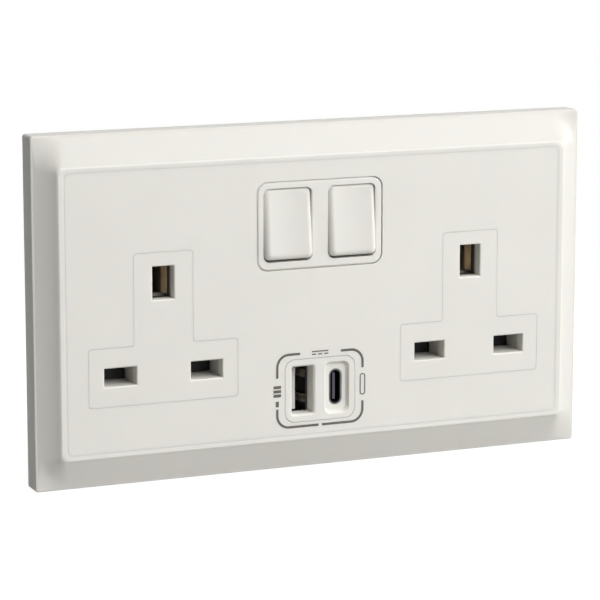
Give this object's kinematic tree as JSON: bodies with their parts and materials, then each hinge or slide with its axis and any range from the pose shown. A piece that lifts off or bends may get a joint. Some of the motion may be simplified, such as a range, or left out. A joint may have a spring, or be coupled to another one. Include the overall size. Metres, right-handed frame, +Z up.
{
  "type": "usb wall socket",
  "caption": "Switched wall socket with a coved outer frame, an inset panel, rocker switches, shuttered pin slots and USB-A and USB-C ports.",
  "frame": {"origin": "middle of the plate in the plane of the wall, which is the back of the outer frame's rim", "axes": "+X to the right as the user faces the plate, +Y into the wall, +Z up; the front looks along -Y"},
  "size_m": [0.146, 0.0317, 0.086],
  "materials": {
    "frame_plastic": "satin",
    "panel_plastic": "satin",
    "rocker_plastic": "satin",
    "carrier_plastic": "matt",
    "shutter_plastic": "matt",
    "plunger_plastic": "matt",
    "contact_brass": "bare pressed brass",
    "plated_steel": "plated",
    "usb_a_insulator": "matt",
    "usb_c_insulator": "matt",
    "circuit_board": "lacquered",
    "transformer_core": "matt",
    "capacitor_can": "sleeved can"
  },
  "bodies": {
    "socket": {"outer_frame": "frame_plastic", "front_panel": "panel_plastic", "outlet_insert_left": "panel_plastic", "outlet_insert_right": "panel_plastic", "switch_bezel": "panel_plastic", "usb_fascia": "panel_plastic", "support_frame": "carrier_plastic", "rear_housing": "carrier_plastic", "housing_screws": "plated_steel", "shutter_spring_left": "plated_steel", "shutter_spring_right": "plated_steel", "live_contact_left": "contact_brass", "live_contact_right": "contact_brass", "live_feed_bar": "contact_brass", "neutral_strip": "contact_brass", "earth_strip": "contact_brass", "terminal_live": "contact_brass", "terminal_neutral": "contact_brass", "terminal_earth": "contact_brass", "terminal_screws": "plated_steel", "usb_board": "circuit_board", "usb_a_shell": "plated_steel", "usb_a_tongue": "usb_a_insulator", "usb_c_shell": "plated_steel", "usb_c_tongue": "usb_c_insulator", "usb_transformer": "transformer_core", "usb_capacitor": "capacitor_can"},
    "rocker_left": {"rocker_left": "rocker_plastic", "plunger_left": "plunger_plastic", "plunger_spring_left": "plated_steel"},
    "moving_contact_left": {"moving_contact_left": "contact_brass"},
    "shutter_left": {"shutter_left": "shutter_plastic"},
    "rocker_right": {"rocker_right": "rocker_plastic", "plunger_right": "plunger_plastic", "plunger_spring_right": "plated_steel"},
    "moving_contact_right": {"moving_contact_right": "contact_brass"},
    "shutter_right": {"shutter_right": "shutter_plastic"}
  },
  "joints": [
    {"name": "rocker_left_tilt", "type": "hinge", "parent": "socket", "child": "rocker_left", "pos_m": [-0.00855, -0.0046, 0.0186], "axis": [1, 0, 0], "range_deg": [0, 11]},
    {"name": "moving_contact_left_tip", "type": "hinge", "parent": "socket", "child": "moving_contact_left", "pos_m": [-0.00855, 0.00695, 0.0186], "axis": [-1, 0, 0], "range_deg": [0, 22]},
    {"name": "shutter_left_slide", "type": "slide", "parent": "socket", "child": "shutter_left", "axis": [0, 0, -1], "range_m": [0, 0.0059], "stiffness_N_per_m": 60, "springref_m": -0.004, "deforming": ["shutter_spring_left"]},
    {"name": "rocker_right_tilt", "type": "hinge", "parent": "socket", "child": "rocker_right", "pos_m": [0.00855, -0.0046, 0.0186], "axis": [1, 0, 0], "range_deg": [0, 11]},
    {"name": "moving_contact_right_tip", "type": "hinge", "parent": "socket", "child": "moving_contact_right", "pos_m": [0.00855, 0.00695, 0.0186], "axis": [-1, 0, 0], "range_deg": [0, 22]},
    {"name": "shutter_right_slide", "type": "slide", "parent": "socket", "child": "shutter_right", "axis": [0, 0, -1], "range_m": [0, 0.0059], "stiffness_N_per_m": 60, "springref_m": -0.004, "deforming": ["shutter_spring_right"]}
  ],
  "couplings": [
    {"joint": "moving_contact_left_tip", "follows": "rocker_left_tilt", "ratio": 2},
    {"joint": "moving_contact_right_tip", "follows": "rocker_right_tilt", "ratio": 2}
  ]
}
